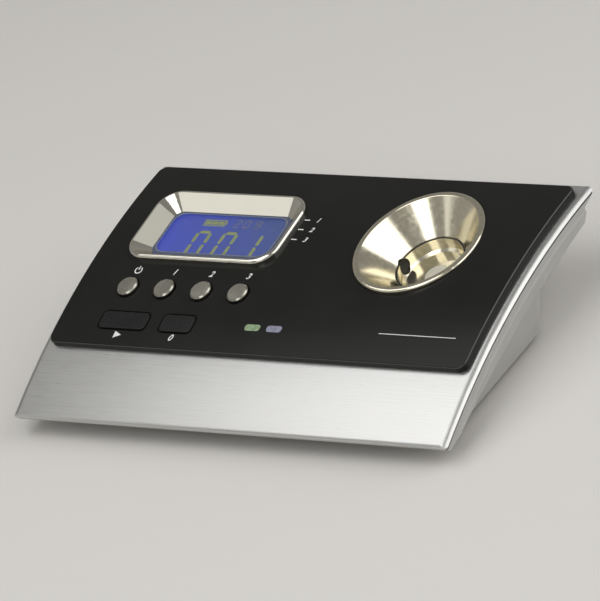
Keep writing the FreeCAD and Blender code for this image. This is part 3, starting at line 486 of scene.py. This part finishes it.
def subdivided(points, spacing):
    """The outline with points added so that none of its runs is longer than the spacing."""
    filled = []
    for (x0, y0), (x1, y1) in zip(points, points[1:] + points[:1]):
        parts = max(1, math.ceil(math.hypot(x1 - x0, y1 - y0) / spacing))
        filled += [(x0 + (x1 - x0) * index / parts, y0 + (y1 - y0) * index / parts)
                   for index in range(parts)]
    return filled


def circle(radius):
    angles = [math.tau * index / circle_steps for index in range(circle_steps)]
    return [(radius * math.cos(angle), radius * math.sin(angle)) for angle in angles]


def arc_band(radius, width, start, end, steps=28):
    """Band along an arc, with its angles in degrees."""
    angles = [math.radians(start + (end - start) * index / steps) for index in range(steps + 1)]
    outer, inner = ([(reach * math.cos(angle), reach * math.sin(angle)) for angle in angles]
                    for reach in (radius + width / 2, radius - width / 2))
    return outer + list(reversed(inner))


def bar_outline(start, end, stroke):
    """Display segment between two points, with pointed ends."""
    (x0, y0), (x1, y1) = start, end
    length = math.hypot(x1 - x0, y1 - y0)
    ux, uy = (x1 - x0) / length, (y1 - y0) / length
    half = stroke / 2
    sx, sy = -uy * half, ux * half
    tx, ty = ux * half, uy * half
    return [(x0, y0), (x0 + tx - sx, y0 + ty - sy), (x1 - tx - sx, y1 - ty - sy), (x1, y1),
            (x1 - tx + sx, y1 - ty + sy), (x0 + tx + sx, y0 + ty + sy)]


# Pieces of the housing that are made here

def linked(name, data, place=None):
    """New object in the scene."""
    thing = bpy.data.objects.new(name, data)
    bpy.context.scene.collection.objects.link(thing)
    if place is not None:
        thing.matrix_world = place
    return thing


def housing_piece(name, mesh, place, material):
    """New piece of one material that moves with the housing."""
    piece = linked(name, mesh, place)
    mesh.materials.clear()
    mesh.materials.append(material)
    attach(piece, "housing")
    return piece


def finished(build, mesh):
    """The mesh with the built faces in it."""
    build.to_mesh(mesh)
    build.free()
    return mesh


def join_loops(build, first, second):
    """Faces between two closed loops of as many vertices."""
    for start in range(len(first)):
        after = (start + 1) % len(first)
        build.faces.new((first[start], first[after], second[after], second[start]))


def flat_piece(name, outlines, place, material):
    """Thin raised shapes, one for each outline of points in the local axes of their place."""
    build = bmesh.new()
    for outline in outlines:
        lower = [build.verts.new((x, y, 0)) for x, y in outline]
        upper = [build.verts.new((x, y, ink_height)) for x, y in outline]
        build.faces.new(upper)
        build.faces.new(list(reversed(lower)))
        join_loops(build, lower, upper)
    return housing_piece(name, finished(build, bpy.data.meshes.new(name)), place, material)


def band_piece(name, rims, place, material):
    """Closed band through four rims of as many points, each a corner of its section."""
    build = bmesh.new()
    loops = [[build.verts.new(spot) for spot in rim] for rim in rims]
    for first, second in zip(loops, loops[1:] + loops[:1]):
        join_loops(build, first, second)
    return housing_piece(name, finished(build, bpy.data.meshes.new(name)), place, material)


def raised_band(name, outer, inner, place, material):
    """Thin raised band between two outlines in the local axes of its place."""
    rims = [[(x, y, level) for x, y in outline]
            for outline, level in ((outer, 0), (outer, ink_height),
                                   (inner, ink_height), (inner, 0))]
    return band_piece(name, rims, place, material)


def curved_rim(width, depth, corner, middle, height):
    """Rounded rectangle bent over the curved top, with its middle so far up the slope."""
    return [surface(x, middle + y, height).translation
            for x, y in subdivided(rounded_outline(width, depth, corner), longest_run)]


# Trim

def rolled_plate():
    """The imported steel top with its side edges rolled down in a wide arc."""
    packed = frame["nodes"]["top_plate"]
    mesh = packed.data.copy()
    if "custom_normal" in mesh.attributes:
        mesh.attributes.remove(mesh.attributes["custom_normal"])
    build = bmesh.new()
    build.from_mesh(mesh)
    bmesh.ops.remove_doubles(build, verts=build.verts, dist=merge_distance)
    roll_start = plate_high.x - roll_radius * math.sin(roll_angle)
    for side in (-1, 1):
        for index in range(roll_steps):
            reach = roll_radius * math.sin(roll_angle * index / roll_steps)
            parts = build.verts[:] + build.edges[:] + build.faces[:]
            bmesh.ops.bisect_plane(build, geom=parts, dist=merge_distance,
                                   plane_co=(side * (roll_start + reach), 0, 0),
                                   plane_no=(side, 0, 0))
    for vertex in build.verts:
        reach = abs(vertex.co.x) - roll_start
        if reach <= 0:
            continue
        drop = roll_radius - math.sqrt(max(roll_radius ** 2 - reach ** 2, 0))
        y, z = vertex.co.y - axis_y, vertex.co.z - axis_z
        share = min(1, (curve_radius - drop) / math.hypot(y, z))
        vertex.co.y = axis_y + y * share
        vertex.co.z = axis_z + z * share
    bmesh.ops.dissolve_degenerate(build, edges=build.edges, dist=merge_distance)
    for face in build.faces:
        face.smooth = True
    finished(build, mesh)
    mesh.set_sharp_from_angle(angle=sharp_angle)
    piece = housing_piece("rolled_top_plate", mesh, packed.matrix_world, finishes["brushed_steel"])
    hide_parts("top_plate")


def seal_and_gap_shade():
    """Dark edge of the seal, just inside the edge of the steel top: partly the seal and partly
    painted shade in the gap under the top.
    """
    rims = [curved_rim(2 * (plate_high.x - inset), plate_length - 2 * inset, dark_band_corner - inset,
                       plate_length / 2, height)
            for inset, height in ((dark_band_outer, dark_band_foot), (dark_band_outer, dark_band_top),
                                  (dark_band_inner, dark_band_top), (dark_band_inner, dark_band_foot))]
    # Black band reaching out near the edge: partly seal, partly painted shade
    band_piece("seal_and_gap_shade", rims, Matrix.Identity(4), finishes["black_rubber"])


def panel_edge_highlight():
    """Painted highlight: a lighter line along the bevel of the panel."""
    depth = plate_length - panel_margin - panel_front
    width = 2 * (plate_high.x - panel_margin)
    rims = []
    for share, lift in ((highlight_start, -highlight_lift), (highlight_start, highlight_lift),
                        (highlight_end, highlight_lift), (highlight_end, -highlight_lift)):
        inset = panel_bevel * share
        rims.append(curved_rim(width - 2 * inset, depth - 2 * inset, panel_corner - inset,
                               panel_front + depth / 2, panel_height - panel_bevel + inset + lift))
    band_piece("panel_edge_highlight", rims, Matrix.Identity(4), bevel_painted_highlight)


def window_edge():
    """Edge of the clear window, just inside the frame: a dull bevel with a bright line that is a
    painted highlight.
    """
    place = raised(surface(*spot_of("lcd_window")), view_level + ink_lift)
    outer, middle, inner = (rounded_outline(view_width - 2 * inset, view_depth - 2 * inset,
                                            view_corner + swell)
                            for inset, swell in (bevel_ring, highlight_ring, clear_ring))
    raised_band("window_bevel", outer, middle, place, window_bevel)
    raised_band("window_highlight_line", middle, inner, place, window_highlight_line)


def ledge_reflection_line():
    """Painted dark reflection: a dark line in the ledge of the cup, where the cone meets the well.
    """
    x, _ = spot_of("sample_cup")
    place = raised(surface(x, cup_along), ledge_level + ink_lift)
    raised_band("cup_ledge_reflection", circle(ledge_outer), circle(ledge_inner), place, ledge_painted_reflection)


# Printed marks

def printed(name, outlines, x, along):
    flat_piece(name, outlines, surface(x, along, panel_height + ink_lift), ink)


def number(name, digits, x, along, size=number_size):
    """A plain printed number, centred on its spot."""
    curve = bpy.data.curves.new(name, "FONT")
    curve.body = digits
    curve.size = size
    curve.shear = number_slant
    curve.align_x = "CENTER"
    curve.align_y = "CENTER"
    curve.extrude = ink_height / 2
    curve.offset = number_weight
    text = linked(name + "_curve", curve)
    bpy.context.view_layer.update()
    graph = bpy.context.evaluated_depsgraph_get()
    mesh = bpy.data.meshes.new_from_object(text.evaluated_get(graph))
    bpy.data.objects.remove(text)
    place = surface(x, along, panel_height + ink_lift + ink_height / 2)
    housing_piece(name, mesh, place, ink)


def power_symbol(x, along):
    ring = arc_band(power_radius, power_stroke, *power_ring)
    foot, tip = (power_radius * share for share in power_bar)
    bar = rectangle(-power_stroke / 2, power_stroke / 2, foot, tip)
    printed("mark_power", [ring, bar], x, along)


def start_symbol(x, along):
    triangle = [(-start_size, -start_size), (start_size * start_reach, 0),
                (-start_size, start_size)]
    printed("mark_start", [triangle], x, along)


def control_marks():
    """A symbol or number over each round button and under each key."""
    x, along = spot_of("button_power")
    power_symbol(x, along + mark_above_button)
    for digit in "123":
        x, along = spot_of("button_" + digit)
        number("mark_button_" + digit, digit, x, along + mark_above_button)
    x, along = spot_of("start_key")
    start_symbol(x, along - mark_below_key)
    x, along = spot_of("zero_key")
    number("mark_zero", "0", x, along - mark_below_key)


def display_ticks():
    """Numbered dashes beside the display."""
    dash = rectangle(-tick_length / 2, tick_length / 2, -tick_width / 2, tick_width / 2)
    for digit, along in zip("123", ticks_along):
        printed("tick_" + digit, [dash], ticks_x, along)
        number("tick_number_" + digit, digit, tick_numbers_x, along, tick_number_size)


def thin_rule():
    """Line at the front right of the panel."""
    half = (rule_end_x - rule_start_x) / 2
    bar = rectangle(-half, half, -rule_width / 2, rule_width / 2)
    printed("thin_rule", [bar], (rule_start_x + rule_end_x) / 2, rule_along)


# Content of the display

def seven_segments(digit, left, bottom, width, height, stroke, gap):
    """Outlines of one seven-segment digit."""
    x0 = left + stroke / 2
    x1 = left + width - stroke / 2
    y0 = bottom + stroke / 2
    y1 = bottom + height / 2
    y2 = bottom + height - stroke / 2
    spans = {"a": ((x0, y2), (x1, y2)), "b": ((x1, y1), (x1, y2)), "c": ((x1, y0), (x1, y1)),
             "d": ((x0, y0), (x1, y0)), "e": ((x0, y0), (x0, y1)), "f": ((x0, y1), (x0, y2)),
             "g": ((x0, y1), (x1, y1))}
    outlines = []
    for name in segments_of[digit]:
        (ax, ay), (bx, by) = spans[name]
        length = math.hypot(bx - ax, by - ay)
        ux, uy = (bx - ax) / length * gap, (by - ay) / length * gap
        outlines.append(bar_outline((ax + ux, ay + uy), (bx - ux, by - uy), stroke))
    return outlines


def digit_row(name, digits, place, material, lefts, **sizes):
    """One piece with a digit at each left end."""
    outlines = []
    for digit, left in zip(digits, lefts):
        outlines += seven_segments(digit, left, **sizes)
    flat_piece(name, outlines, place, material)


def battery_symbol(place):
    """Full battery: a frame with a tip at its right end and three cells in it."""
    wall = battery_wall
    gap = wall / 2
    x0, x1 = battery_left, battery_left + battery_width
    y0, y1 = battery_bottom, battery_bottom + battery_depth
    outlines = [rectangle(x0, x1, y0, y0 + wall), rectangle(x0, x1, y1 - wall, y1),
                rectangle(x0, x0 + wall, y0 + wall, y1 - wall),
                rectangle(x1 - wall, x1, y0 + wall, y1 - wall),
                rectangle(x1, x1 + wall, y0 + battery_tip_inset, y1 - battery_tip_inset)]
    cell = (battery_width - 2 * wall - (battery_cells + 1) * gap) / battery_cells
    for index in range(battery_cells):
        left = x0 + wall + gap + index * (cell + gap)
        outlines.append(rectangle(left, left + cell, y0 + wall + gap, y1 - wall - gap))
    flat_piece("display_battery_symbol", outlines, place, segment)


def display_content():
    """Digits and battery symbol on the display's face, just under the window."""
    place = raised(surface(*spot_of("lcd_window")), display_face + ink_lift)
    digit_row("display_digits", "001", place, segment, **large_digits)
    digit_row("display_small_digits", "209", place, faint_segment, **small_digits)
    battery_symbol(place)


rolled_plate()
seal_and_gap_shade()
panel_edge_highlight()
window_edge()
ledge_reflection_line()
control_marks()
display_ticks()
thin_rule()
display_content()


# Floor, light and camera

def floor():
    half = floor_size / 2
    mesh = bpy.data.meshes.new("floor")
    corners = [(x, y, 0) for x, y in rectangle(-half, half, -half, half)]
    mesh.from_pydata(corners, [], [(0, 1, 2, 3)])
    plane = linked("floor", mesh)
    mesh.materials.append(Finish("pale_floor", (0.78, 0.76, 0.73), 0.7).material)


def soft_light(name, location, width, depth, radiance):
    """Lamp panel of a given brightness that looks at the instrument."""
    light = bpy.data.lights.new(name, "AREA")
    light.shape = "RECTANGLE"
    light.size = width
    light.size_y = depth
    light.energy = radiance * math.pi * width * depth
    lamp = linked(name, light)
    lamp.location = location
    lamp.rotation_euler = Vector(location).to_track_quat("Z", "Y").to_euler()


def surround():
    """Even studio surround that is brighter near the floor than overhead."""
    world = bpy.data.worlds.new("studio")
    world.use_nodes = True
    tree = world.node_tree
    place = add_node(tree, "ShaderNodeTexCoord", {}).outputs["Generated"]
    lean = add_node(tree, "ShaderNodeVectorMath", {0: place, 1: bright_side})
    lean.operation = "DOT_PRODUCT"
    level = add_node(tree, "ShaderNodeMapRange",
                     {"Value": lean.outputs["Value"], **surround_levels})
    background = tree.nodes["Background"]
    background.inputs["Color"].default_value = surround_colour
    tree.links.new(level.outputs["Result"], background.inputs["Strength"])
    bpy.context.scene.world = world


def camera():
    """The photograph's view: a long lens from the front right, rolled to the left."""
    back = camera_right.cross(camera_up).normalized()
    up = back.cross(camera_right).normalized()
    lens = bpy.data.cameras.new("camera")
    lens.lens = focal_length
    lens.sensor_width = sensor_width
    lens.clip_end = camera_reach
    turn = Matrix((camera_right.normalized(), up, back)).transposed().to_4x4()
    view = linked("camera", lens, Matrix.Translation(camera_place) @ turn)
    bpy.context.scene.camera = view


floor()
surround()
for lamp_name, lamp_settings in lamps.items():
    soft_light(lamp_name, *lamp_settings)
camera()
bpy.context.scene.view_settings.view_transform = "Standard"
